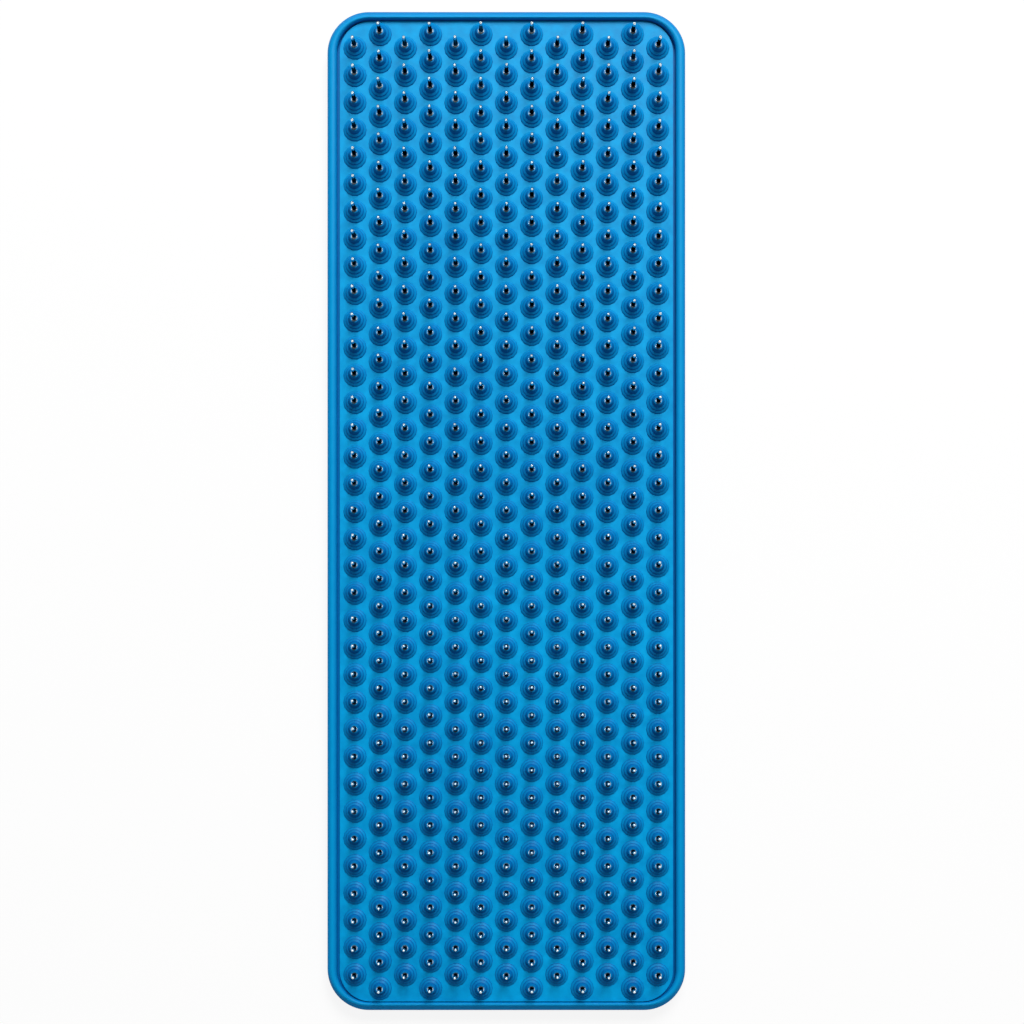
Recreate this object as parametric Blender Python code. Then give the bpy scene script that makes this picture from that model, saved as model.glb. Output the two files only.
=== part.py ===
"""Acupressure mat: a blue rubber tray with a rolled rim, a studded rubber sheet laid in it,
and steel needles in columns, whose heads lie between the two and whose points stand out of the studs.

The mat lies flat: +Z is up, +Y runs along its length, and the origin is the middle of its underside.
Run with blender --background --python part.py, or from Blender's text editor. Lengths are in metres.
"""

import math

import bmesh
import bpy
from mathutils.geometry import delaunay_2d_cdt

MM = 0.001

# Needle pattern: columns run along the length, and every second one is half a pitch out of step.
COLUMNS = 13
LONG_COLUMN_NEEDLES = 36
COLUMN_PITCH = 5.74 * MM
ROW_PITCH = 6.2 * MM

# Studs: the round rubber cones that carry the needles.
STUD_DIAMETER = 5.2 * MM
STUD_HEIGHT = 1.7 * MM
STUD_SIDES = 5

# Needles: a straight shank with a sharpened point above the stud, and a flat head below the sheet.
NEEDLE_DIAMETER = 0.9 * MM
NEEDLE_REACH = 3.8 * MM
POINT_LENGTH = 1.5 * MM
HEAD_OVERHANG = 0.25 * MM
HEAD_THICKNESS = 0.6 * MM
NEEDLE_SIDES = 3

# Rubber parts.
SHEET_THICKNESS = 1.5 * MM
FLOOR_SKIN = 0.6 * MM
SIDE_RIM_WIDTH = 2.5 * MM
END_RIM_WIDTH = 1.7 * MM
RIM_RISE = 1.1 * MM
RIM_ROUNDING = 0.9 * MM
FOOT_CHAMFER = 0.4 * MM
CORNER_RADIUS = 9.4 * MM
SIDE_LAND = 0.6 * MM
END_LAND = 0.1 * MM

# Clearances between pieces that touch in the real mat, and how far a cutter runs past its work.
LAYER_GAP = 0.2 * MM
EDGE_GAP = 0.5 * MM
HEAD_GAP = 0.25 * MM
SHANK_GAP = 0.1 * MM
OVERRUN = 1.0 * MM

# Vertices nearer than this are at one place.
SAME_PLACE = 0.001 * MM

CORNER_SEGMENTS = 4
RIM_SEGMENTS = 8

# Places worked out from the sizes above.
NEEDLE_RADIUS = NEEDLE_DIAMETER / 2
HOLE_RADIUS = NEEDLE_RADIUS + SHANK_GAP / math.cos(math.pi / NEEDLE_SIDES)
HEAD_WIDTH = NEEDLE_DIAMETER + 2 * HEAD_OVERHANG

FIELD_HALF_WIDTH = (COLUMNS - 1) * COLUMN_PITCH / 2
FIELD_HALF_LENGTH = (LONG_COLUMN_NEEDLES - 1) * ROW_PITCH / 2
SHEET_HALF_WIDTH = FIELD_HALF_WIDTH + STUD_DIAMETER / 2 + SIDE_LAND
SHEET_HALF_LENGTH = FIELD_HALF_LENGTH + STUD_DIAMETER / 2 + END_LAND
MAT_HALF_WIDTH = SHEET_HALF_WIDTH + EDGE_GAP + SIDE_RIM_WIDTH
MAT_HALF_LENGTH = SHEET_HALF_LENGTH + EDGE_GAP + END_RIM_WIDTH
SHEET_CORNER_RADIUS = CORNER_RADIUS - (SIDE_RIM_WIDTH + END_RIM_WIDTH) / 2 - EDGE_GAP

GROOVE_FLOOR = FLOOR_SKIN
HEAD_UNDERSIDE = GROOVE_FLOOR + LAYER_GAP
HEAD_TOP = HEAD_UNDERSIDE + HEAD_THICKNESS
TRAY_FLOOR = HEAD_TOP
SHEET_UNDERSIDE = TRAY_FLOOR + LAYER_GAP
SHEET_TOP = SHEET_UNDERSIDE + SHEET_THICKNESS
STUD_TOP = SHEET_TOP + STUD_HEIGHT
NEEDLE_TIP = STUD_TOP + NEEDLE_REACH
POINT_START = NEEDLE_TIP - POINT_LENGTH
RIM_TOP = SHEET_TOP + RIM_RISE


def clear_scene():
    for leftover in list(bpy.data.objects):
        bpy.data.objects.remove(leftover, do_unlink=True)


def collection(name):
    made = bpy.data.collections.new(name)
    bpy.context.scene.collection.children.link(made)
    return made


def material(name, colour, roughness, metallic):
    made = bpy.data.materials.new(name)
    made.use_nodes = True
    shader = made.node_tree.nodes["Principled BSDF"]
    shader.inputs["Base Color"].default_value = (*colour, 1)
    shader.inputs["Roughness"].default_value = roughness
    shader.inputs["Metallic"].default_value = metallic
    made.diffuse_color = (*colour, 1)
    return made


def tray_rubber():
    return material("tray_rubber", (0.0, 0.21, 0.55), roughness=0.45, metallic=0.0)


def sheet_rubber():
    return material("sheet_rubber", (0.0, 0.24, 0.62), roughness=0.4, metallic=0.0)


def needle_steel(column_name):
    return material(f"{column_name}_steel", (0.72, 0.72, 0.73), roughness=0.18, metallic=1.0)


def column_place(column):
    return column * COLUMN_PITCH - FIELD_HALF_WIDTH


def is_clear_of_corner(x, y):
    """Whether a stud at (x, y) leaves the land of the ends between its foot and the sheet's round corner."""
    past_side = abs(x) - (SHEET_HALF_WIDTH - SHEET_CORNER_RADIUS)
    past_end = abs(y) - (SHEET_HALF_LENGTH - SHEET_CORNER_RADIUS)
    reach = math.hypot(past_side, past_end) + STUD_DIAMETER / 2 + END_LAND
    room = SHEET_CORNER_RADIUS * math.cos(math.pi / 4 / CORNER_SEGMENTS)
    return min(past_side, past_end) < 0 or reach < room


def needle_rows(column):
    """Distances along the mat of the needles in one column; the leftmost column is number 0.

    A column beside the mat's corners loses its end needles where the corners are too round for their studs.
    """
    count = LONG_COLUMN_NEEDLES - 1 + column % 2
    rows = [(row - (count - 1) / 2) * ROW_PITCH for row in range(count)]
    return [row for row in rows if is_clear_of_corner(column_place(column), row)]


def polygon(sides, radius, x, y, turned):
    """Corners of a regular polygon round (x, y), the first one at the angle turned."""
    step = 2 * math.pi / sides
    angles = [turned + step * corner for corner in range(sides)]
    return [(x + radius * math.cos(a), y + radius * math.sin(a)) for a in angles]


def stud_outline(x, y):
    return polygon(STUD_SIDES, STUD_DIAMETER / 2, x, y, turned=0)


def needle_outline(radius, x, y):
    return polygon(NEEDLE_SIDES, radius, x, y, turned=0)


def rounded_rectangle(half_width, half_length, radius):
    """Corners of a rectangle with round corners, anticlockwise from the middle of its right side."""
    points = []
    for quarter, (side, end) in enumerate(((1, 1), (-1, 1), (-1, -1), (1, -1))):
        x = side * (half_width - radius)
        y = end * (half_length - radius)
        for step in range(CORNER_SEGMENTS + 1):
            angle = (quarter + step / CORNER_SEGMENTS) * math.pi / 2
            points.append((x + radius * math.cos(angle), y + radius * math.sin(angle)))
    return points


def loop(bm, points, height):
    """A closed loop of edges through the points, at one height."""
    corners = [bm.verts.new((x, y, height)) for x, y in points]
    return [bm.edges.new((corner, corners[i - 1])) for i, corner in enumerate(corners)]


def bridge(bm, lower, upper):
    bmesh.ops.bridge_loops(bm, edges=lower + upper)


def cap(bm, edges):
    return bmesh.ops.edgeloop_fill(bm, edges=edges)["faces"]


def cap_round_holes(bm, outline, holes):
    """Fills the flat face between an outline loop and the loops of the holes in it."""
    corners, owners, pairs = [], {}, []
    for owner, edges in enumerate([outline, *holes]):
        for edge in edges:
            for vertex in edge.verts:
                if vertex not in owners:
                    owners[vertex] = owner
                    corners.append(vertex)
    number = {vertex: i for i, vertex in enumerate(corners)}
    for edges in [outline, *holes]:
        pairs.extend([number[vertex] for vertex in edge.verts] for edge in edges)
    flat = [vertex.co.xy for vertex in corners]
    triangles_inside = 1
    filled = delaunay_2d_cdt(flat, pairs, [], triangles_inside, SAME_PLACE)
    triangles, sources = filled[2], filled[3]
    for triangle in triangles:
        picked = [corners[sources[i][0]] for i in triangle]
        touched = {owners[vertex] for vertex in picked}
        if len(touched) > 1 or touched == {0}:
            bm.faces.new(picked)


def finish(bm, name, surface, home):
    """Turns a closed bmesh into a named object in a collection."""
    bmesh.ops.recalc_face_normals(bm, faces=bm.faces)
    mesh = bpy.data.meshes.new(name)
    bm.to_mesh(mesh)
    bm.free()
    mesh.materials.append(surface)
    made = bpy.data.objects.new(name, mesh)
    home.objects.link(made)
    return made


def rim_section():
    """The tray's edge from its underside over the rolled rim to its floor.

    Each point is how far in it lies at the sides and at the ends, and its height.
    """
    shoulder = RIM_TOP - RIM_ROUNDING
    section = [(FOOT_CHAMFER, FOOT_CHAMFER, 0), (0, 0, FOOT_CHAMFER)]
    for step in range(RIM_SEGMENTS + 1):
        angle = step / RIM_SEGMENTS * math.pi
        across_share = (1 - math.cos(angle)) / 2
        height = shoulder + RIM_ROUNDING * math.sin(angle)
        section.append((across_share * SIDE_RIM_WIDTH, across_share * END_RIM_WIDTH, height))
    section.append((SIDE_RIM_WIDTH, END_RIM_WIDTH, TRAY_FLOOR))
    return section


def groove_cutter(cutters):
    """Boxes that cut a groove in the tray's floor for each column's needle heads."""
    bm = bmesh.new()
    for column in range(COLUMNS):
        rows = needle_rows(column)
        width = HEAD_WIDTH + 2 * HEAD_GAP
        length = rows[-1] - rows[0] + width
        height = TRAY_FLOOR + OVERRUN - GROOVE_FLOOR
        corners = bmesh.ops.create_cube(bm, size=1)["verts"]
        bmesh.ops.scale(bm, vec=(width, length, height), verts=corners)
        middle = (column_place(column), 0, GROOVE_FLOOR + height / 2)
        bmesh.ops.translate(bm, vec=middle, verts=corners)
    mesh = bpy.data.meshes.new("groove_cutter")
    bm.to_mesh(mesh)
    bm.free()
    cutter = bpy.data.objects.new("groove_cutter", mesh)
    cutters.objects.link(cutter)
    cutter.hide_render = True
    cutter.display_type = "WIRE"
    return cutter


def base_tray(home, cutters):
    """The rubber tray: a grooved floor inside a rolled rim."""
    bm = bmesh.new()
    loops = []
    for side_inset, end_inset, height in rim_section():
        corner = CORNER_RADIUS - (side_inset + end_inset) / 2
        outline = rounded_rectangle(MAT_HALF_WIDTH - side_inset, MAT_HALF_LENGTH - end_inset, corner)
        loops.append(loop(bm, outline, height))
    for lower, upper in zip(loops, loops[1:]):
        bridge(bm, lower, upper)
    cap(bm, loops[0])
    cap(bm, loops[-1])
    tray = finish(bm, "base_tray", tray_rubber(), home)
    grooves = tray.modifiers.new("grooves", "BOOLEAN")
    grooves.operation = "DIFFERENCE"
    grooves.solver = "EXACT"
    grooves.object = groove_cutter(cutters)


def studded_sheet(home):
    """The rubber sheet: a round-cornered plate with a hollow cone at every needle's place."""
    bm = bmesh.new()
    outline = rounded_rectangle(SHEET_HALF_WIDTH, SHEET_HALF_LENGTH, SHEET_CORNER_RADIUS)
    underside = loop(bm, outline, SHEET_UNDERSIDE)
    top = loop(bm, outline, SHEET_TOP)
    bridge(bm, underside, top)
    bores, feet = [], []
    for column in range(COLUMNS):
        x = column_place(column)
        for y in needle_rows(column):
            hole = needle_outline(HOLE_RADIUS, x, y)
            mouth = loop(bm, hole, STUD_TOP)
            bores.append(loop(bm, hole, SHEET_UNDERSIDE))
            feet.append(loop(bm, stud_outline(x, y), SHEET_TOP))
            bridge(bm, bores[-1], mouth)
            bridge(bm, feet[-1], mouth)
    cap_round_holes(bm, underside, bores)
    cap_round_holes(bm, top, feet)
    finish(bm, "studded_sheet", sheet_rubber(), home)


def needle(bm, x, y):
    """A shank with a point at its upper end. The open edges of its foot are returned."""
    section = needle_outline(NEEDLE_RADIUS, x, y)
    foot = loop(bm, section, HEAD_TOP)
    shoulder = loop(bm, section, POINT_START)
    bridge(bm, foot, shoulder)
    end = cap(bm, shoulder)
    point = bmesh.ops.poke(bm, faces=end)["verts"]
    bmesh.ops.translate(bm, vec=(0, 0, POINT_LENGTH), verts=point)
    return foot


def needle_column(column, home):
    """One column of needles. Their heads are joined in a flat strip, so that the column is one solid."""
    name = f"needle_column_{column + 1:02d}"
    x = column_place(column)
    rows = needle_rows(column)
    reach = HEAD_WIDTH / 2
    low, high = rows[0] - reach, rows[-1] + reach
    strip = [(x - reach, low), (x + reach, low), (x + reach, high), (x - reach, high)]
    bm = bmesh.new()
    underside = loop(bm, strip, HEAD_UNDERSIDE)
    top = loop(bm, strip, HEAD_TOP)
    bridge(bm, underside, top)
    cap(bm, underside)
    feet = [needle(bm, x, y) for y in rows]
    cap_round_holes(bm, top, feet)
    finish(bm, name, needle_steel(name), home)


def main():
    clear_scene()
    home = collection("acupressure_mat")
    cutters = collection("cutters")
    base_tray(home, cutters)
    studded_sheet(home)
    for column in range(COLUMNS):
        needle_column(column, home)


main()
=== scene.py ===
"""Acupressure mat: the finished look of a blue rubber mat with steel needles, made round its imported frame.

The mat lies flat with its length along Y. Lengths are in metres, and the frame's boxes give every place:
the rim, the sheet and the needle columns are where the frame has them. What is set here is their finish.
"""

import math

import bmesh
import bpy
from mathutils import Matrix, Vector


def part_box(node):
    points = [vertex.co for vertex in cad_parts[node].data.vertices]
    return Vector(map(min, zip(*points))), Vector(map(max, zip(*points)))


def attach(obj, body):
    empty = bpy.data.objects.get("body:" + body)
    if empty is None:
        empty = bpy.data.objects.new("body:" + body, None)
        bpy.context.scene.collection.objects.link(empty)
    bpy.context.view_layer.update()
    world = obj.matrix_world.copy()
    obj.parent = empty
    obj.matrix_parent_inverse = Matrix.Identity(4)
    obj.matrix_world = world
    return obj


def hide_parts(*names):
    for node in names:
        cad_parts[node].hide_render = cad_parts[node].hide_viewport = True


bl_info = {
    "name": "Acupressure Mat",
    "version": (1, 0, 0),
    "blender": (4, 5, 0),
    "location": "View3D > Sidebar > Acupressure Mat",
    "description": "Builds the rim, the studded sheet, the needles and the stage of an acupressure mat",
    "category": "Object",
}

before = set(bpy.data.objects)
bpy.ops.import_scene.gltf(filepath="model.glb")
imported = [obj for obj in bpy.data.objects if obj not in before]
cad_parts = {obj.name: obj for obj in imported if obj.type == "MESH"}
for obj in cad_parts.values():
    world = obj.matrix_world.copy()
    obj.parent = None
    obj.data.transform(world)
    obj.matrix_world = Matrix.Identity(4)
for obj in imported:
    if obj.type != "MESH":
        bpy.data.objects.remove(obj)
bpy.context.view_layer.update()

MM = 0.001
WHITE = (1.0, 1.0, 1.0, 1.0)
BODY = "root"
NEEDLE_ATTRIBUTE = "needle"

# Points closer together than this are one point.
WELD = 0.002 * MM

# Edges sharper than these angles stay sharp where a piece is shaded smooth.
RIM_CREASE = math.radians(40)
SHEET_CREASE = math.radians(30)
NEEDLE_CREASE = math.radians(47)

# Places read from the frame.
TRAY_LOW, TRAY_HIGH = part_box("base_tray")
SHEET_LOW, SHEET_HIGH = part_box("studded_sheet")
COLUMN_NODES = sorted(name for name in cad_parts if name.startswith("needle_column_"))
COLUMN_BOXES = [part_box(name) for name in COLUMN_NODES]
COLUMN_PLACES = [(low.x + high.x) / 2 for low, high in COLUMN_BOXES]
COLUMN_LENGTHS = [high.y - low.y for low, high in COLUMN_BOXES]
COLUMN_PITCH = (COLUMN_PLACES[-1] - COLUMN_PLACES[0]) / (len(COLUMN_NODES) - 1)
HEAD_WIDTH = COLUMN_BOXES[0][1].x - COLUMN_BOXES[0][0].x
HEAD_UNDERSIDE = COLUMN_BOXES[0][0].z
NEEDLE_TIP = COLUMN_BOXES[0][1].z
LONG_COLUMN_NEEDLES = 36
ROW_PITCH = (max(COLUMN_LENGTHS) - HEAD_WIDTH) / (LONG_COLUMN_NEEDLES - 1)
COLUMN_NEEDLES = [round((length - HEAD_WIDTH) / ROW_PITCH) + 1 for length in COLUMN_LENGTHS]

# The photograph's size and the mat's edges in it, in pixels.
PICTURE_SIZE = 1024
MAT_LEFT_PX, MAT_RIGHT_PX = 326.7, 686.0
MAT_TOP_PX, MAT_BOTTOM_PX = 12.1, 1010

# How deep the blue is, as shares: painted shade in the creases below a stud's walls and on its neck;
# on its lowest and highest slope and at its mouth a deeper blue where the rubber is thick, partly painted
# shade too.
CREASE_SHADE = 1.0
SLOPE_DEPTHS_AND_SHADE = 0.38, 0.56
NECK_DEPTH_AND_SHADE = 0.8
MOUTH_DEPTH = 0.55

# Shares of a stud's height: where its first crease's painted shade starts, how far each crease's painted
# shade fades and where its neck ends.
FIRST_CREASE_SHARE = 0.02
CREASE_FADE_SHARE = 0.03
NECK_END_SHARE = 0.97

# Painted shade on the rim at shares of its round top's height: deepest in the groove and low on the flanks,
# palest on the crest.
RIM_PAINTED_SHADE_STOPS = ((0.0, 0.8), (0.2, 0.45), (0.6, 0.5), (0.8, 0.35), (0.97, 0.12), (1.0, 0.0))

# How much of the groove's width its bottom fills, up to the small gap at the sheet's edge.
STEP_SHARE = 0.9

# The rubber's tone is part clouds, part mottles. Mottles and grain also shape its relief and its shine.
NOISE_MIDDLE = 0.5
CLOUD_SHARE = 0.4
CLOUD_STOPS = ((0.3, 0.0), (0.7, 1.0))
MOTTLE_RELIEF = 0.5
MOTTLE_SHINE = 0.2
GRAIN_SHINE = 0.1

# The steel's drawn lines run round the needle. Lines and smudges change its shine.
LINE_STRETCH = (1.0, 1.0, 12.0)
LINE_STRENGTH = 0.08
LINE_DEPTH = 0.01 * MM
LINE_SHINE = 0.08
SMUDGE_SHINE = 0.1

# Over which share of a needle's height its painted dark reflection comes in above the foot, and goes out
# below the tip.
DARK_REFLECTION_FADE_IN_SHARE = 0.02
DARK_REFLECTION_FADE_OUT_SHARE = 0.05

# How far a needle's bare part has narrowed, as a share, at shares of its height.
NEEDLE_CURVE = ((0.0, 0.0), (0.05, 0.61), (0.12, 0.69), (0.45, 0.8), (0.93, 1.0))

# A needle ends bluntly: the radius and height of its last small cone, as shares of the tip's radius.
BLUNT_SHARE = 0.22
BLUNT_DROP_SHARE = 0.055

# The flared foot starts just above the stud's mouth.
FLARE_SEAT = 0.01 * MM

# Keeps the needles' chance numbers apart from their turns.
CHANCE_SEED = 100

# The floor lies just below the mat's underside and is faintly speckled.
FLOOR_DROP = 0.1 * MM
SPECKLE_SCALE = 40.0
SPECKLE_SHARE = 0.1

# How steeply a direction points up, from 0 at the horizon to 1, where white walls end and the ceiling begins.
WALL_END = 0.5
CEILING_START = 0.7

# The lamps stand beyond the mat's far end.
KEY_LAMP_PLACE = (0.14, 0.84, 0.84)
SIDE_LAMP_PLACE = (0.3, 0.6, 0.75)


class Link:
    """One output of a node. Arithmetic on links adds Math nodes to the tree that they belong to."""

    def __init__(self, graph, socket):
        self.graph = graph
        self.socket = socket

    def output(self, name):
        """Another output of the same node."""
        return Link(self.graph, self.socket.node.outputs[name])

    def math(self, operation, *values):
        return self.graph.add("ShaderNodeMath", {"operation": operation}, dict(enumerate(values)))

    def __add__(self, other):
        return self.math("ADD", self, other)

    def __radd__(self, other):
        return self.math("ADD", other, self)

    def __sub__(self, other):
        return self.math("SUBTRACT", self, other)

    def __rsub__(self, other):
        return self.math("SUBTRACT", other, self)

    def __mul__(self, other):
        return self.math("MULTIPLY", self, other)

    def __rmul__(self, other):
        return self.math("MULTIPLY", other, self)

    def __truediv__(self, other):
        return self.math("DIVIDE", self, other)

    def __mod__(self, other):
        return self.math("FLOORED_MODULO", self, other)

    def __gt__(self, other):
        return self.math("GREATER_THAN", self, other)

    def __lt__(self, other):
        return self.math("LESS_THAN", self, other)

    def __abs__(self):
        return self.math("ABSOLUTE", self)

    def rounded(self):
        return self.math("ROUND", self)


class Graph:
    """Adds nodes to the tree of a material, a world or a geometry modifier."""

    def __init__(self, tree):
        self.tree = tree

    def add(self, kind, settings=None, sockets=None, output=0):
        """Adds a node, sets its settings, fills its sockets with values or links, and gives one output."""
        node = self.tree.nodes.new(kind)
        for name, value in (settings or {}).items():
            if name == "stops":
                self.set_stops(node.color_ramp, value)
            else:
                setattr(node, name, value)
        for key, value in (sockets or {}).items():
            self.fill(node.inputs[key], value)
        return Link(self, node.outputs[output]) if node.outputs else node

    def set_stops(self, ramp, stops):
        while len(ramp.elements) < len(stops):
            ramp.elements.new(1)
        for element, (position, grey) in zip(ramp.elements, stops):
            element.position = position
            element.color = (grey, grey, grey, 1)

    def fill(self, socket, value):
        if isinstance(value, Link):
            self.tree.links.new(value.socket, socket)
        elif isinstance(value, list):
            for link in value:
                self.tree.links.new(link.socket, socket)
        else:
            socket.default_value = value

    def tint(self, share, first, second):
        """A colour between two colours."""
        return self.add("ShaderNodeMix", {"data_type": "RGBA"}, {0: share, 6: first, 7: second}, output=2)

    def noise(self, place, scale, detail=2.0):
        return self.add("ShaderNodeTexNoise", {}, {"Vector": place, "Scale": scale, "Detail": detail})

    def ramp(self, share, stops):
        """Greys between stops, which are pairs of a place from 0 to 1 and a grey."""
        return self.add("ShaderNodeValToRGB", {"stops": stops}, {"Fac": share})

    def parts(self, vector):
        """The X, Y and Z of a vector."""
        x = self.add("ShaderNodeSeparateXYZ", {}, {"Vector": vector})
        return x, x.output("Y"), x.output("Z")

    def vector(self, **parts):
        return self.add("ShaderNodeCombineXYZ", {}, parts)


def opaque(colour):
    return (*colour, 1)


def new_material(name):
    """An empty material, the graph that fills it and its place in object space."""
    material = bpy.data.materials.new(name)
    material.use_nodes = True
    material.node_tree.nodes.clear()
    graph = Graph(material.node_tree)
    place = graph.add("ShaderNodeTexCoord", output="Object")
    return material, graph, place


def surface(graph, shader):
    graph.add("ShaderNodeOutputMaterial", {}, {"Surface": shader})


def stud_depth_and_shade_stops(stud):
    """How deep the blue is at each share of a stud's height: painted shade, deepest in the creases below its
    walls and on its neck, and on its slopes partly the deeper blue of thick rubber.
    """
    slopes = stud.height - stud.neck_height - stud.foot_lip - stud.ring_lip * stud.rings
    share = stud.foot_lip / stud.height
    stops = [(0.0, 0.0), (FIRST_CREASE_SHARE, CREASE_SHADE), (share, CREASE_SHADE)]
    for ring in range(stud.rings):
        depth = SLOPE_DEPTHS_AND_SHADE[0] + (SLOPE_DEPTHS_AND_SHADE[1] - SLOPE_DEPTHS_AND_SHADE[0]) * ring / (stud.rings - 1)
        stops.append((share + CREASE_FADE_SHARE, depth))
        share += slopes / stud.rings / stud.height
        stops.append((share - CREASE_FADE_SHARE, depth))
        stops.append((share, CREASE_SHADE))
        share += stud.ring_lip / stud.height
        stops.append((share, CREASE_SHADE))
    stops += [(share + CREASE_FADE_SHARE, NECK_DEPTH_AND_SHADE), (NECK_END_SHARE, NECK_DEPTH_AND_SHADE), (1.0, MOUTH_DEPTH)]
    return stops


def moulded_rubber(name, colour, shade_colour, finish, foot, top, depth_and_shade_stops):
    """Satin moulded rubber with a cloudy tone, fine grain and an uneven shine.

    Its blue is deeper between the two heights foot and top, by the stops that are given: painted shade in
    creases, the groove and on low flanks, and on the studs partly the deeper blue of thick rubber.
    """
    material, graph, place = new_material(name)
    clouds = graph.noise(place, finish.cloud_scale, detail=3.0)
    mottle = graph.noise(place, finish.mottle_scale, detail=2.0)
    grain = graph.noise(place, finish.grain_scale, detail=1.0)
    drift = graph.ramp(clouds * CLOUD_SHARE + mottle * (1 - CLOUD_SHARE), CLOUD_STOPS)
    blue = graph.tint(drift, opaque(shade_colour), opaque(colour))
    _, _, height = graph.parts(place)
    # Painted shade: the blue deepens by the stops between foot and top.
    depth = graph.ramp((height - foot) / (top - foot), depth_and_shade_stops)
    blue = graph.tint(depth, blue, opaque(finish.deep_blue_and_shade))
    relief = grain + mottle * MOTTLE_RELIEF
    bump = graph.add(
        "ShaderNodeBump",
        {},
        {"Strength": finish.grain_strength, "Distance": finish.grain_depth, "Height": relief},
    )
    shine = (mottle - NOISE_MIDDLE) * MOTTLE_SHINE + (grain - NOISE_MIDDLE) * GRAIN_SHINE
    shader = graph.add(
        "ShaderNodeBsdfPrincipled",
        {},
        {
            "Base Color": blue,
            "Roughness": finish.rubber_roughness + shine,
            "Specular IOR Level": finish.rubber_specular,
            "Normal": bump,
        },
    )
    surface(graph, shader)
    return material


def polished_steel(name, finish):
    """Bright steel with a painted dark reflection between the foot and the tip, darker on some needles than
    on others.

    The foot's ring has a painted reflection: a bright glint at the needle's two sides, painted dark at its
    front and back.
    """
    material, graph, place = new_material(name)
    across, along, height = graph.parts(place)
    about = graph.add("ShaderNodeAttribute", {"attribute_name": NEEDLE_ATTRIBUTE}, output="Vector")
    axis_across, axis_along, chance = graph.parts(about)
    # Painted reflection on the foot: a bright glint at the needle's two sides, dark at its front and back.
    sideways = abs(across - axis_across) * finish.glint_reach - abs(along - axis_along)
    side_glint = graph.ramp(sideways / finish.glint_width, [(0.0, 0.0), (1.0, 1.0)])
    share = (height - SHEET_HIGH.z) / (NEEDLE_TIP - SHEET_HIGH.z)
    # Painted dark reflection on the shank, between the foot and the tip.
    dark_reflection = graph.ramp(
        share,
        [
            (0.0, finish.foot_burnish),
            (finish.dark_reflection_start, finish.foot_burnish),
            (finish.dark_reflection_start + DARK_REFLECTION_FADE_IN_SHARE, 1.0),
            (finish.dark_reflection_end - DARK_REFLECTION_FADE_OUT_SHARE, 1.0),
            (finish.dark_reflection_end, 0.0),
        ],
    )
    at_foot = finish.dark_reflection_start + DARK_REFLECTION_FADE_IN_SHARE / 2 > share
    stretched = graph.add("ShaderNodeMapping", {}, {"Vector": place, "Scale": LINE_STRETCH})
    lines = graph.noise(stretched, finish.line_scale)
    smudge = graph.noise(place, finish.smudge_scale)
    # The chance number's cube is small for most needles, so only a few have a much paler painted dark
    # reflection.
    depth = 1.0 - finish.dark_reflection_spread * chance * chance * chance
    # How much painted dark reflection the steel gets: none on the foot's glinting sides.
    dark = dark_reflection * depth * (1.0 - at_foot * side_glint)
    bump = graph.add(
        "ShaderNodeBump", {}, {"Strength": LINE_STRENGTH, "Distance": LINE_DEPTH, "Height": lines}
    )
    shader = graph.add(
        "ShaderNodeBsdfPrincipled",
        {},
        {
            "Base Color": graph.tint(dark, opaque(finish.steel), opaque(finish.dark_reflection_colour)),
            "Metallic": 1.0,
            "Specular Tint": opaque(finish.steel_edge),
            "Roughness": finish.steel_roughness + smudge * SMUDGE_SHINE + (lines - NOISE_MIDDLE) * LINE_SHINE,
            "Normal": bump,
        },
    )
    surface(graph, shader)
    return material


def geometry_tree(name, inputs):
    """A geometry tree with one output and named inputs, given as name and socket kind."""
    tree = bpy.data.node_groups.new(name, "GeometryNodeTree")
    tree.interface.new_socket("Geometry", in_out="OUTPUT", socket_type="NodeSocketGeometry")
    for label, kind in inputs.items():
        tree.interface.new_socket(label, in_out="INPUT", socket_type=f"NodeSocket{kind}")
    graph = Graph(tree)
    given = tree.nodes.new("NodeGroupInput")
    links = {label: Link(graph, given.outputs[label]) for label in inputs}
    return tree, graph, links


def end_tree(graph, geometry, material):
    """Ends a tree in real geometry with its material."""
    real = graph.add("GeometryNodeRealizeInstances", {}, {"Geometry": geometry})
    dressed = graph.add("GeometryNodeSetMaterial", {}, {"Geometry": real, "Material": material})
    graph.add("NodeGroupOutput", {}, {0: dressed})


def link_object(name, mesh):
    made = bpy.data.objects.new(name, mesh)
    bpy.context.scene.collection.objects.link(made)
    return made


def grow(name, tree, values):
    """Runs a geometry tree once and gives an object with the plain mesh that it makes."""
    holder = link_object(name, bpy.data.meshes.new(f"{name}_seed"))
    modifier = holder.modifiers.new(tree.name, "NODES")
    modifier.node_group = tree
    for item in tree.interface.items_tree:
        if item.in_out == "INPUT":
            modifier[item.identifier] = values[item.name]
    holder.update_tag()
    evaluated = holder.evaluated_get(bpy.context.evaluated_depsgraph_get())
    mesh = bpy.data.meshes.new_from_object(evaluated)
    holder.modifiers.remove(modifier)
    holder.data = mesh
    return holder


def turned(name, profile, segments):
    """A mesh turned round Z from a profile of (radius, height) points. Points on the axis become poles."""
    bm = bmesh.new()
    points = [bm.verts.new((radius, 0, height)) for radius, height in profile]
    edges = [bm.edges.new(pair) for pair in zip(points, points[1:])]
    bmesh.ops.spin(
        bm,
        geom=points + edges,
        axis=(0, 0, 1),
        cent=(0, 0, 0),
        steps=segments,
        angle=math.tau,
        use_merge=True,
    )
    bmesh.ops.remove_doubles(bm, verts=bm.verts, dist=WELD)
    bmesh.ops.recalc_face_normals(bm, faces=bm.faces)
    mesh = bpy.data.meshes.new(name)
    bm.to_mesh(mesh)
    bm.free()
    return link_object(name, mesh)


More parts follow.
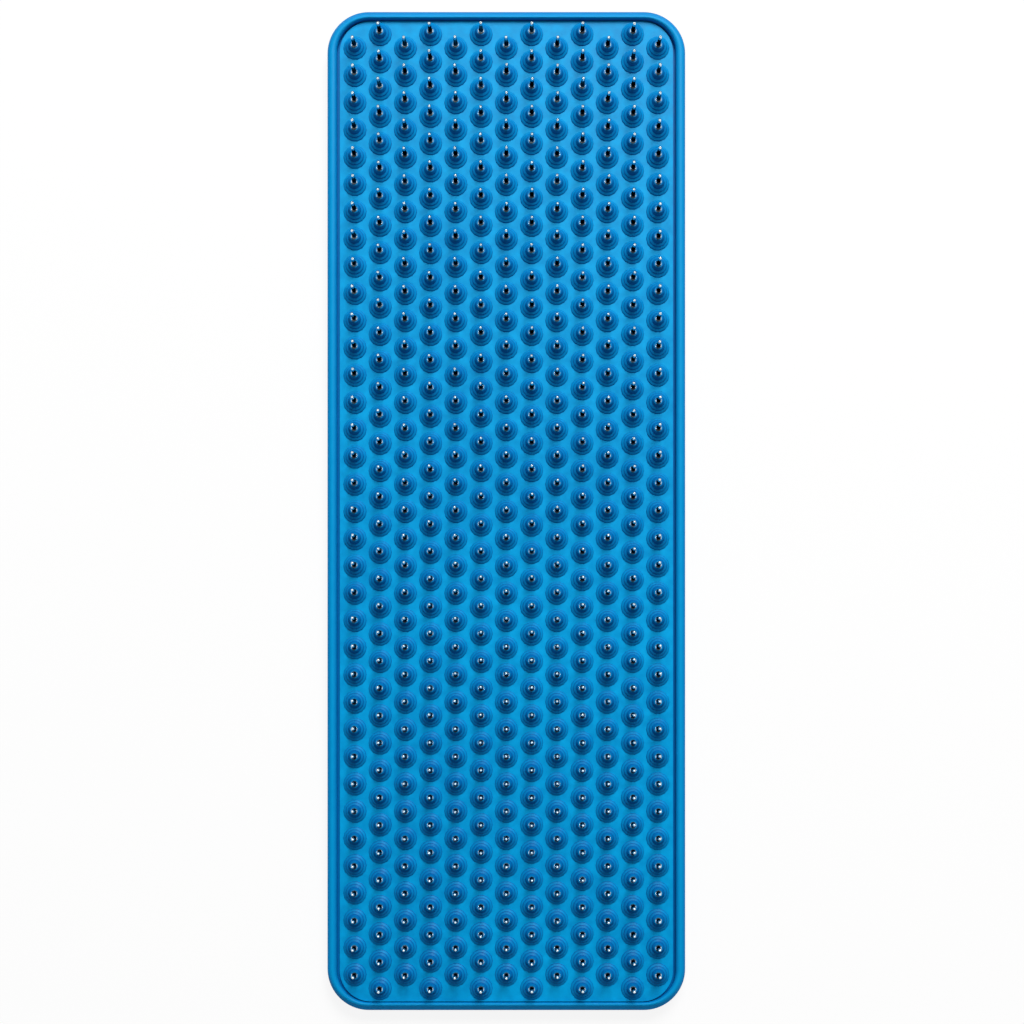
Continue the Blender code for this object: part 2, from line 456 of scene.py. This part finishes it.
def close_and_smooth(piece, crease):
    """Turns every face outwards and shades it smooth, apart from edges sharper than the crease angle."""
    bm = bmesh.new()
    bm.from_mesh(piece.data)
    bmesh.ops.remove_doubles(bm, verts=bm.verts, dist=WELD)
    bmesh.ops.recalc_face_normals(bm, faces=bm.faces)
    bm.to_mesh(piece.data)
    bm.free()
    piece.data.shade_smooth()
    piece.data.set_sharp_from_angle(angle=crease)


def place_piece(piece, slot, *nodes):
    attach(piece, BODY)
    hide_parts(*nodes)


def length_prop(name, description, millimetres):
    return bpy.props.FloatProperty(
        name=name,
        description=description,
        default=millimetres * MM,
        min=0.0,
        subtype="DISTANCE",
        unit="LENGTH",
    )


def colour_prop(name, description, colour):
    return bpy.props.FloatVectorProperty(
        name=name, description=description, default=colour, min=0.0, max=1.0, size=3, subtype="COLOR"
    )


def number_prop(name, description, value):
    return bpy.props.FloatProperty(name=name, description=description, default=value, min=0.0)


def angle_prop(name, description, degrees):
    return bpy.props.FloatProperty(
        name=name, description=description, default=math.radians(degrees), min=0.0, subtype="ANGLE"
    )


def count_prop(name, description, value, least):
    return bpy.props.IntProperty(name=name, description=description, default=value, min=least)


class RimProps(bpy.types.PropertyGroup):
    """The tray and its rolled rim."""

    side_groove: length_prop("Side groove", "Width of the groove at the mat's sides", 0.58)
    end_groove: length_prop("End groove", "Width of the groove at the mat's ends", 0.16)
    groove_depth: length_prop("Groove depth", "How far the groove's bottom lies below the sheet's top", 0.5)
    rounding: length_prop("Rim rounding", "Height of the rim's round top", 0.7)
    side_skew: number_prop("Side skew", "Below 1 the crest of the rim's sides is nearer the sheet", 0.9)
    end_skew: number_prop("End skew", "Below 1 the crest of the rim's ends is nearer the sheet", 0.34)
    foot: length_prop("Foot rounding", "Rounding where the rim meets the floor", 0.4)
    corner_radius: length_prop("Corner radius", "Radius of the mat's corners", 9.4)
    corner_steps: count_prop("Corner steps", "Faces round a corner", 20, 4)
    rim_steps: count_prop("Rim steps", "Faces over the rim", 14, 4)
    foot_steps: count_prop("Foot steps", "Faces over the foot's rounding", 4, 1)


class StudProps(bpy.types.PropertyGroup):
    """The studded sheet."""

    side_spread: length_prop("Side spread", "How far the sheet's sides spread beyond their frame", 0.28)
    end_spread: length_prop("End spread", "How far the sheet's ends spread beyond their frame", 0.32)
    foot_diameter: length_prop("Foot diameter", "Diameter of a stud at the sheet", 5.3)
    neck_diameter: length_prop("Neck diameter", "Diameter of a stud where its steep neck begins", 2.9)
    mouth_diameter: length_prop("Mouth diameter", "Diameter of a stud at its top", 1.9)
    height: length_prop("Height", "Height of a stud above the sheet", 1.7)
    neck_height: length_prop("Neck height", "Height of the steep neck", 0.54)
    rings: count_prop("Rings", "Sloping rings below the neck", 2, 2)
    foot_lip: length_prop("Foot lip", "Height of the upright wall at a stud's foot", 0.18)
    ring_lip: length_prop("Ring lip", "Height of the small wall inside each ring", 0.13)
    draft: length_prop("Draft", "How far each wall leans inwards", 0.06)
    bore_diameter: length_prop("Bore diameter", "Diameter of the hole that holds the needle", 1.0)
    sides: count_prop("Sides", "Faces round a stud", 14, 6)


class NeedleProps(bpy.types.PropertyGroup):
    """The needles."""

    diameter: length_prop("Diameter", "Diameter of a needle's shank in the rubber", 0.94)
    flare_diameter: length_prop("Flare diameter", "Diameter of the flared foot on the stud", 1.44)
    lip: length_prop("Lip", "Height of the flared foot's upright lip", 0.05)
    tip_diameter: length_prop("Tip diameter", "Diameter just below the round tip", 0.7)
    head_diameter: length_prop("Head diameter", "Diameter of the flat head under the sheet", 1.4)
    head_thickness: length_prop("Head thickness", "Thickness of the flat head under the sheet", 0.6)
    sides: count_prop("Sides", "Faces round a needle", 8, 6)
    lean: angle_prop("Lean", "Most that a needle leans to any side", 1.6)


class FinishProps(bpy.types.PropertyGroup):
    """Colours and surface detail."""

    sheet_blue: colour_prop("Sheet blue", "Colour of the studded sheet", (0.0, 0.37, 0.745))
    sheet_shade: colour_prop("Sheet shade", "Colour of the sheet's darker clouds", (0.0, 0.255, 0.57))
    # Colour of the painted shade in creases and the groove, and of the studs' thick rubber.
    deep_blue_and_shade: colour_prop("Deep blue", "Colour of the rubber in creases and the groove", (0.0, 0.09, 0.33))
    rim_blue: colour_prop("Rim blue", "Colour of the rim and the underside", (0.0, 0.31, 0.66))
    rim_shade: colour_prop("Rim shade", "Colour of the rim's darker clouds", (0.0, 0.285, 0.62))
    steel: colour_prop("Steel", "Colour of the bright steel", (0.74, 0.88, 0.93))
    # Colour of the shank's painted dark reflection.
    dark_reflection_colour: colour_prop("Painted dark steel", "Colour of the shank's dark finish", (0.025, 0.025, 0.028))
    steel_edge: colour_prop("Steel edge", "Tint of the steel at a glancing angle", (0.1, 0.1, 0.1))
    rubber_roughness: number_prop("Rubber roughness", "Roughness of the rubber", 0.4)
    rubber_specular: number_prop("Rubber reflection", "Strength of the rubber's reflection", 0.08)
    steel_roughness: number_prop("Steel roughness", "Roughness of the steel", 0.12)
    cloud_scale: number_prop("Cloud scale", "Clouds of tone per metre", 18.0)
    mottle_scale: number_prop("Mottle scale", "Mottles per metre", 420.0)
    grain_scale: number_prop("Grain scale", "Grains of the mould per metre", 5200.0)
    grain_strength: number_prop("Grain strength", "Strength of the mould grain", 0.25)
    grain_depth: length_prop("Grain depth", "Depth of the mould grain", 0.02)
    line_scale: number_prop("Line scale", "Drawn lines on the steel per metre", 2500.0)
    smudge_scale: number_prop("Smudge scale", "Smudges on the steel per metre", 900.0)
    # Where the painted dark reflection lies on the needles, and how much paler it is on some.
    dark_reflection_start: number_prop("Painted dark start", "Share of a needle's height where it turns dark", 0.08)
    dark_reflection_end: number_prop("Painted dark end", "Share of a needle's height where it is bright again", 0.75)
    dark_reflection_spread: number_prop("Painted dark spread", "How much paler the palest needle's dark finish is", 0.12)
    # The foot's painted reflection: dark at the front and back, a bright glint at the sides.
    foot_burnish: number_prop("Foot painted reflection", "How dark the front and back of a needle's foot are", 0.97)
    glint_reach: number_prop("Glint reach", "How far a foot's bright sides reach round to its front", 0.8)
    glint_width: length_prop("Glint width", "How gradually a foot's bright sides turn dark", 0.2)


class StageProps(bpy.types.PropertyGroup):
    """Floor, light and camera."""

    floor_size: length_prop("Floor size", "Side of the floor", 6000.0)
    floor_grey: colour_prop("Floor", "Colour of the floor", (0.9, 0.9, 0.9))
    floor_glow: number_prop("Floor glow", "Share of plain white in what the camera sees of the floor", 0.88)
    glow_start: length_prop("Glow start", "How far from the middle the floor starts to turn white", 250.0)
    glow_end: length_prop("Glow end", "How far from the middle the floor is plain white, up to 1 m", 900.0)
    key_power: number_prop("Key power", "Power of the main lamp in watts", 14.2)
    key_size: length_prop("Key size", "Side of the main lamp", 600.0)
    side_power: number_prop("Side power", "Power of the side lamp in watts", 2.2)
    side_size: length_prop("Side size", "Side of the side lamp", 350.0)
    sky: number_prop("Sky", "Strength of the even light from all round", 0.25)
    ceiling: number_prop("Ceiling", "Brightness of the studio's ceiling in reflections", 0.12)
    lens: number_prop("Lens", "Focal length in millimetres", 52.0)
    shift: number_prop("Shift", "How far the view is shifted up, as a share of the picture", 0.245)


def props():
    return bpy.context.scene.acupressure_mat


class MatProps(bpy.types.PropertyGroup):
    """Everything that can be set on the mat."""

    rim: bpy.props.PointerProperty(type=RimProps, name="Rim", description="The tray and its rim")
    stud: bpy.props.PointerProperty(type=StudProps, name="Studs", description="The studded sheet")
    needle: bpy.props.PointerProperty(type=NeedleProps, name="Needles", description="The needles")
    finish: bpy.props.PointerProperty(type=FinishProps, name="Finish", description="Colours and detail")
    stage: bpy.props.PointerProperty(type=StageProps, name="Stage", description="Floor, light and camera")


def rounded_rectangle(half_width, half_length, radius, steps):
    """Corners of a rectangle with round corners, anticlockwise from the middle of its right side."""
    points = []
    for quarter, (side, end) in enumerate(((1, 1), (-1, 1), (-1, -1), (1, -1))):
        x = side * (half_width - radius)
        y = end * (half_length - radius)
        for step in range(steps + 1):
            angle = (quarter + step / steps) * math.pi / 2
            points.append((x + radius * math.cos(angle), y + radius * math.sin(angle)))
    return points


def sheet_reach():
    """Half the sheet's width and half its length."""
    stud = props().stud
    reach = (SHEET_HIGH - SHEET_LOW) / 2
    return reach.x + stud.side_spread, reach.y + stud.end_spread


def rim_widths(rim):
    """The rim's width at the mat's sides and at its ends."""
    tray = (TRAY_HIGH - TRAY_LOW) / 2
    half_width, half_length = sheet_reach()
    return tray.x - half_width - rim.side_groove, tray.y - half_length - rim.end_groove


def rim_section(rim, floor):
    """The tray's edge from its underside over the rolled rim to its floor.

    Each point is how far in it lies at the sides and at the ends, and its height.
    """
    side_width, end_width = rim_widths(rim)
    shoulder = TRAY_HIGH.z - rim.rounding
    section = []
    for step in range(rim.foot_steps + 1):
        angle = step / rim.foot_steps * math.pi / 2
        inset = rim.foot * (1 - math.sin(angle))
        section.append((inset, inset, rim.foot * (1 - math.cos(angle))))
    for step in range(rim.rim_steps + 1):
        angle = step / rim.rim_steps * math.pi
        across = (1 - math.cos(angle)) / 2
        side_inset = side_width * across**rim.side_skew
        end_inset = end_width * across**rim.end_skew
        section.append((side_inset, end_inset, shoulder + rim.rounding * math.sin(angle)))
    bottom = SHEET_HIGH.z - props().stud.height - rim.groove_depth
    side_step = side_width + rim.side_groove * STEP_SHARE
    end_step = end_width + rim.end_groove * STEP_SHARE
    section.append((side_width, end_width, bottom))
    section.append((side_step, end_step, bottom))
    section.append((side_step, end_step, floor))
    return section


class MAT_OT_rim(bpy.types.Operator):
    """Build the rubber tray with its rolled rim"""

    bl_idname = "acupressure_mat.rim"
    bl_label = "Rolled rim"

    def execute(self, context):
        rim, finish = props().rim, props().finish
        middle = (TRAY_LOW + TRAY_HIGH) / 2
        reach = (TRAY_HIGH - TRAY_LOW) / 2
        floor = HEAD_UNDERSIDE + props().needle.head_thickness
        bm = bmesh.new()
        loops = []
        for side_inset, end_inset, height in rim_section(rim, floor):
            radius = rim.corner_radius - (side_inset + end_inset) / 2
            outline = rounded_rectangle(reach.x - side_inset, reach.y - end_inset, radius, rim.corner_steps)
            points = [bm.verts.new((middle.x + x, middle.y + y, height)) for x, y in outline]
            loops.append([bm.edges.new((point, points[i - 1])) for i, point in enumerate(points)])
        for lower, upper in zip(loops, loops[1:]):
            bmesh.ops.bridge_loops(bm, edges=lower + upper)
        bmesh.ops.edgeloop_fill(bm, edges=loops[0])
        bmesh.ops.edgeloop_fill(bm, edges=loops[-1])
        mesh = bpy.data.meshes.new("rolled_rim_tray")
        bm.to_mesh(mesh)
        bm.free()
        blues = finish.rim_blue, finish.rim_shade
        top = TRAY_HIGH.z
        shoulder = top - rim.rounding
        # Painted shade deepens the rim's blue low on its flanks and in the groove.
        mesh.materials.append(moulded_rubber("rim_rubber", *blues, finish, shoulder, top, RIM_PAINTED_SHADE_STOPS))
        piece = link_object("rolled_rim_tray", mesh)
        close_and_smooth(piece, RIM_CREASE)
        place_piece(piece, "tray_rubber", "base_tray")
        return {"FINISHED"}


def stud_profile(stud, thickness):
    """A stud from its foot over its rings and neck to the needle's bore, as (radius, height) pairs."""
    foot, neck = stud.foot_diameter / 2, stud.neck_diameter / 2
    mouth, bore = stud.mouth_diameter / 2, stud.bore_diameter / 2
    ring_width = (foot - neck) / stud.rings
    slopes = stud.height - stud.neck_height - stud.foot_lip - stud.ring_lip * stud.rings
    radius, height = foot, 0.0
    profile = [(radius, height)]
    height += stud.foot_lip
    for ring in range(stud.rings):
        profile.append((radius - stud.draft, height))
        radius -= ring_width
        height += slopes / stud.rings
        profile.append((radius, height))
        height += stud.ring_lip
    profile.append((neck - stud.draft, height))
    profile.append((mouth, stud.height))
    profile.append((bore, stud.height))
    profile.append((bore, -thickness))
    return profile


def studded_sheet_tree():
    """A sheet with round corners, with a stud and a bore at each place of the staggered field."""
    tree, graph, given = geometry_tree(
        "studded sheet",
        {
            "Stud": "Object",
            "Columns": "Int",
            "Needles": "Int",
            "Column Pitch": "Float",
            "Row Pitch": "Float",
            "Width": "Float",
            "Length": "Float",
            "Corner Radius": "Float",
            "Corner Steps": "Int",
            "Stud Sides": "Int",
            "Foot Radius": "Float",
            "Bore Radius": "Float",
            "Underside": "Float",
            "Top": "Float",
            "Weld": "Float",
            "Material": "Material",
        },
    )
    columns, needles = given["Columns"], given["Needles"]
    grid = graph.add(
        "GeometryNodeMeshGrid",
        {},
        {
            "Size X": (columns - 1) * given["Column Pitch"],
            "Size Y": (needles - 1) * given["Row Pitch"],
            "Vertices X": columns,
            "Vertices Y": needles,
        },
    )
    across, along, _ = graph.parts(graph.add("GeometryNodeInputPosition"))
    column = (across / given["Column Pitch"] + (columns - 1) / 2).rounded()
    row = (along / given["Row Pitch"] + (needles - 1) / 2).rounded()
    # Every other column, from the first on, is short: it lacks the last row and lies half a row further on.
    is_short = 1 - column % 2
    is_last = row > needles - 1.5
    field = graph.add(
        "GeometryNodeDeleteGeometry", {"domain": "POINT"}, {"Geometry": grid, "Selection": is_short * is_last}
    )
    stagger = graph.vector(Y=is_short * given["Row Pitch"] / 2)
    field = graph.add("GeometryNodeSetPosition", {}, {"Geometry": field, "Offset": stagger})

    def raised(geometry, height):
        lift = graph.vector(Z=height)
        return graph.add("GeometryNodeSetPosition", {}, {"Geometry": geometry, "Offset": lift})

    def at_each_place(piece):
        placed = graph.add("GeometryNodeInstanceOnPoints", {}, {"Points": field, "Instance": piece})
        return graph.add("GeometryNodeRealizeInstances", {}, {"Geometry": placed})

    def holed(radius):
        circle = graph.add(
            "GeometryNodeCurvePrimitiveCircle", {}, {"Resolution": given["Stud Sides"], "Radius": radius}
        )
        curves = graph.add("GeometryNodeJoinGeometry", {}, {0: [outline, at_each_place(circle)]})
        return graph.add("GeometryNodeFillCurve", {}, {"Curve": curves})

    rectangle = graph.add(
        "GeometryNodeCurvePrimitiveQuadrilateral", {}, {"Width": given["Width"], "Height": given["Length"]}
    )
    outline = graph.add(
        "GeometryNodeFilletCurve",
        {"mode": "POLY"},
        {"Curve": rectangle, "Radius": given["Corner Radius"], "Count": given["Corner Steps"]},
    )
    top = raised(holed(given["Foot Radius"]), given["Top"])
    underside = graph.add("GeometryNodeFlipFaces", {}, {"Mesh": holed(given["Bore Radius"])})
    underside = raised(underside, given["Underside"])
    rise = graph.vector(Z=given["Top"] - given["Underside"])
    edge = raised(graph.add("GeometryNodeCurveToMesh", {}, {"Curve": outline}), given["Underside"])
    wall = graph.add(
        "GeometryNodeExtrudeMesh", {"mode": "EDGES"}, {"Mesh": edge, "Offset": rise, "Offset Scale": 1.0}
    )
    stud = graph.add("GeometryNodeObjectInfo", {}, {"Object": given["Stud"]}, output="Geometry")
    studs = raised(at_each_place(stud), given["Top"])
    whole = graph.add("GeometryNodeJoinGeometry", {}, {0: [top, underside, wall, studs]})
    welded = graph.add("GeometryNodeMergeByDistance", {}, {"Geometry": whole, "Distance": given["Weld"]})
    end_tree(graph, welded, given["Material"])
    return tree


class MAT_OT_studded_sheet(bpy.types.Operator):
    """Build the rubber sheet with its staggered field of ringed studs"""

    bl_idname = "acupressure_mat.studded_sheet"
    bl_label = "Studded sheet"

    def execute(self, context):
        rim, stud, finish = props().rim, props().stud, props().finish
        top = SHEET_HIGH.z - stud.height
        template = turned("stud_template", stud_profile(stud, top - SHEET_LOW.z), stud.sides)
        tree = studded_sheet_tree()
        blues = finish.sheet_blue, finish.sheet_shade
        # The studs' blue deepens with painted shade in their creases and on their necks, and partly as thick
        # rubber on their slopes.
        rubber = moulded_rubber("sheet_rubber", *blues, finish, top, SHEET_HIGH.z, stud_depth_and_shade_stops(stud))
        half_width, half_length = sheet_reach()
        side_inset = TRAY_HIGH.x - half_width
        end_inset = TRAY_HIGH.y - half_length
        piece = grow(
            "studded_rubber_sheet",
            tree,
            {
                "Stud": template,
                "Columns": len(COLUMN_NODES),
                "Needles": LONG_COLUMN_NEEDLES,
                "Column Pitch": COLUMN_PITCH,
                "Row Pitch": ROW_PITCH,
                "Width": half_width * 2,
                "Length": half_length * 2,
                "Corner Radius": rim.corner_radius - (side_inset + end_inset) / 2,
                "Corner Steps": rim.corner_steps,
                "Stud Sides": stud.sides,
                "Foot Radius": stud.foot_diameter / 2,
                "Bore Radius": stud.bore_diameter / 2,
                "Underside": SHEET_LOW.z,
                "Top": top,
                "Weld": WELD,
                "Material": rubber,
            },
        )
        bpy.data.objects.remove(template)
        close_and_smooth(piece, SHEET_CREASE)
        place_piece(piece, "sheet_rubber", "studded_sheet")
        return {"FINISHED"}


def needle_profile(needle):
    """A needle from the middle of its head to its tip, as (radius, height) pairs above the stud's top."""
    head, shank = needle.head_diameter / 2, needle.diameter / 2
    flare, tip = needle.flare_diameter / 2, needle.tip_diameter / 2
    head_foot = HEAD_UNDERSIDE - SHEET_HIGH.z
    head_top = head_foot + needle.head_thickness
    reach = NEEDLE_TIP - SHEET_HIGH.z
    profile = [(0, head_foot), (head, head_foot), (head, head_top), (shank, head_top)]
    profile += [(shank, FLARE_SEAT), (flare, FLARE_SEAT)]
    for height_share, narrowing_share in NEEDLE_CURVE:
        radius = flare + (tip - flare) * narrowing_share
        profile.append((radius, needle.lip + (reach - needle.lip) * height_share))
    profile.append((tip * BLUNT_SHARE, reach - tip * BLUNT_DROP_SHARE))
    return profile + [(0, reach)]


def needle_column_tree():
    """A row of needles along Y, each turned and leant a little at random.

    Each needle carries its axis and a chance number from 0 to 1, which the steel's painted reflections read.
    """
    tree, graph, given = geometry_tree(
        "needle column",
        {
            "Needle": "Object",
            "Count": "Int",
            "Row Pitch": "Float",
            "Place": "Vector",
            "Lean": "Float",
            "Seed": "Int",
            "Material": "Material",
        },
    )
    reach = (given["Count"] - 1) * given["Row Pitch"] / 2
    start = graph.vector(Y=reach * -1)
    step = graph.vector(Y=given["Row Pitch"])
    row = graph.add(
        "GeometryNodeMeshLine", {}, {"Count": given["Count"], "Start Location": start, "Offset": step}
    )
    row = graph.add("GeometryNodeSetPosition", {}, {"Geometry": row, "Offset": given["Place"]})
    most = graph.vector(X=given["Lean"], Y=given["Lean"], Z=math.pi)
    least = graph.add("ShaderNodeVectorMath", {"operation": "SCALE"}, {0: most, "Scale": -1.0})
    turn = graph.add(
        "FunctionNodeRandomValue", {"data_type": "FLOAT_VECTOR"}, {0: least, 1: most, "Seed": given["Seed"]}
    )
    chance = graph.add(
        "FunctionNodeRandomValue", {"data_type": "FLOAT"}, {"Seed": given["Seed"] + CHANCE_SEED}, output=1
    )
    across, along, _ = graph.parts(graph.add("GeometryNodeInputPosition"))
    about = graph.vector(X=across, Y=along, Z=chance)
    row = graph.add(
        "GeometryNodeStoreNamedAttribute",
        {"data_type": "FLOAT_VECTOR", "domain": "POINT"},
        {"Geometry": row, "Name": NEEDLE_ATTRIBUTE, "Value": about},
    )
    needle = graph.add("GeometryNodeObjectInfo", {}, {"Object": given["Needle"]}, output="Geometry")
    needles = graph.add(
        "GeometryNodeInstanceOnPoints", {}, {"Points": row, "Instance": needle, "Rotation": turn}
    )
    end_tree(graph, needles, given["Material"])
    return tree


class MAT_OT_needles(bpy.types.Operator):
    """Build the needles, one piece for each column"""

    bl_idname = "acupressure_mat.needles"
    bl_label = "Needles"

    def execute(self, context):
        needle, finish = props().needle, props().finish
        template = turned("needle_template", needle_profile(needle), needle.sides)
        tree = needle_column_tree()
        steel = polished_steel("needle_steel", finish)
        for number, node in enumerate(COLUMN_NODES):
            piece = grow(
                node.replace("needle_column", "needles"),
                tree,
                {
                    "Needle": template,
                    "Count": COLUMN_NEEDLES[number],
                    "Row Pitch": ROW_PITCH,
                    "Place": (COLUMN_PLACES[number], 0.0, SHEET_HIGH.z),
                    "Lean": needle.lean,
                    "Seed": number,
                    "Material": steel,
                },
            )
            close_and_smooth(piece, NEEDLE_CREASE)
            place_piece(piece, "needle_steel", node)
        bpy.data.objects.remove(template)
        return {"FINISHED"}


def seen_share(graph):
    """1 for what the camera sees, directly or in a reflection, and 0 for what lights the mat."""
    seen = graph.add("ShaderNodeLightPath", output="Is Camera Ray")
    mirrored = seen.math("MAXIMUM", seen.output("Is Glossy Ray"), seen.output("Is Transmission Ray"))
    return seen.math("MAXIMUM", seen, mirrored)


def add_floor(stage):
    """A pale floor, whose picture is part plain white so that only the mat's soft shadow shows on it."""
    bm = bmesh.new()
    bmesh.ops.create_grid(bm, x_segments=1, y_segments=1, size=stage.floor_size / 2)
    bmesh.ops.translate(bm, vec=(0, 0, -FLOOR_DROP), verts=bm.verts)
    mesh = bpy.data.meshes.new("floor")
    bm.to_mesh(mesh)
    bm.free()
    material, graph, place = new_material("pale_floor")
    speckle = graph.noise(place, SPECKLE_SCALE)
    grey = graph.tint(speckle * SPECKLE_SHARE, opaque(stage.floor_grey), WHITE)
    reach = graph.add("ShaderNodeVectorMath", {"operation": "LENGTH"}, {0: place}, output="Value")
    glow = graph.ramp(reach, [(stage.glow_start, stage.floor_glow), (stage.glow_end, 1.0)])
    paint = graph.add(
        "ShaderNodeBsdfPrincipled", {}, {"Base Color": grey, "Roughness": 1.0, "Specular IOR Level": 0.0}
    )
    white = graph.add("ShaderNodeEmission", {}, {"Color": WHITE, "Strength": 1.0})
    surface(graph, graph.add("ShaderNodeMixShader", {}, {0: seen_share(graph) * glow, 1: paint, 2: white}))
    mesh.materials.append(material)
    link_object("floor", mesh)


def add_sky(stage):
    """Even light from all round, which the camera and reflections see as white walls and a dark ceiling."""
    world = bpy.data.worlds.new("studio")
    world.use_nodes = True
    world.node_tree.nodes.clear()
    graph = Graph(world.node_tree)
    _, _, upward = graph.parts(graph.add("ShaderNodeTexCoord", output="Generated"))
    studio = graph.ramp(upward, [(0.0, 1.0), (WALL_END, 1.0), (CEILING_START, stage.ceiling)])
    strength = stage.sky + seen_share(graph) * (studio - stage.sky)
    light = graph.add("ShaderNodeBackground", {}, {"Color": WHITE, "Strength": strength})
    graph.add("ShaderNodeOutputWorld", {}, {"Surface": light})
    bpy.context.scene.world = world


def add_lamp(name, power, size, place):
    """A square lamp that points at the middle of the mat."""
    data = bpy.data.lights.new(name, "AREA")
    data.shape = "SQUARE"
    data.energy = power
    data.size = size
    lamp = link_object(name, data)
    lamp.location = place
    lamp.rotation_euler = (-Vector(place)).to_track_quat("-Z", "Y").to_euler()


def add_camera(stage):
    """A camera that looks straight down, shifted so that it stands over the mat's near half."""
    scale = (MAT_BOTTOM_PX - MAT_TOP_PX) / (TRAY_HIGH.y - TRAY_LOW.y)
    data = bpy.data.cameras.new("camera")
    data.lens = stage.lens
    data.shift_y = stage.shift
    camera = link_object("camera", data)
    distance = data.lens / data.sensor_width * PICTURE_SIZE / scale
    aside = PICTURE_SIZE / 2 - (MAT_LEFT_PX + MAT_RIGHT_PX) / 2
    above = PICTURE_SIZE / 2 - (MAT_TOP_PX + MAT_BOTTOM_PX) / 2 + stage.shift * PICTURE_SIZE
    rim_level = TRAY_HIGH.z - props().rim.rounding
    camera.location = (aside / scale, -above / scale, rim_level + distance)
    bpy.context.scene.camera = camera


class MAT_OT_stage(bpy.types.Operator):
    """Build the floor, the light and the camera"""

    bl_idname = "acupressure_mat.stage"
    bl_label = "Stage"

    def execute(self, context):
        stage = props().stage
        add_floor(stage)
        add_sky(stage)
        add_lamp("key_lamp", stage.key_power, stage.key_size, KEY_LAMP_PLACE)
        add_lamp("side_lamp", stage.side_power, stage.side_size, SIDE_LAMP_PLACE)
        add_camera(stage)
        context.scene.view_settings.view_transform = "Standard"
        return {"FINISHED"}


class MAT_PT_panel(bpy.types.Panel):
    """Lists the mat's builders and their settings."""

    bl_idname = "MAT_PT_panel"
    bl_label = "Acupressure Mat"
    bl_space_type = "VIEW_3D"
    bl_region_type = "UI"
    bl_category = "Acupressure Mat"

    def draw(self, context):
        settings = context.scene.acupressure_mat
        for operator, group in (
            (MAT_OT_rim, settings.rim),
            (MAT_OT_studded_sheet, settings.stud),
            (MAT_OT_needles, settings.needle),
            (MAT_OT_stage, settings.stage),
        ):
            section = self.layout.box()
            section.operator(operator.bl_idname)
            for name in type(group).__annotations__:
                section.prop(group, name)
        section = self.layout.box()
        for name in FinishProps.__annotations__:
            section.prop(settings.finish, name)


CLASSES = (
    RimProps,
    StudProps,
    NeedleProps,
    FinishProps,
    StageProps,
    MatProps,
    MAT_OT_rim,
    MAT_OT_studded_sheet,
    MAT_OT_needles,
    MAT_OT_stage,
    MAT_PT_panel,
)


def register():
    for item in CLASSES:
        bpy.utils.register_class(item)
    bpy.types.Scene.acupressure_mat = bpy.props.PointerProperty(type=MatProps)


def unregister():
    del bpy.types.Scene.acupressure_mat
    for item in reversed(CLASSES):
        bpy.utils.unregister_class(item)


def main():
    register()
    bpy.ops.acupressure_mat.rim()
    bpy.ops.acupressure_mat.studded_sheet()
    bpy.ops.acupressure_mat.needles()
    bpy.ops.acupressure_mat.stage()


if __name__ == "__main__":
    main()
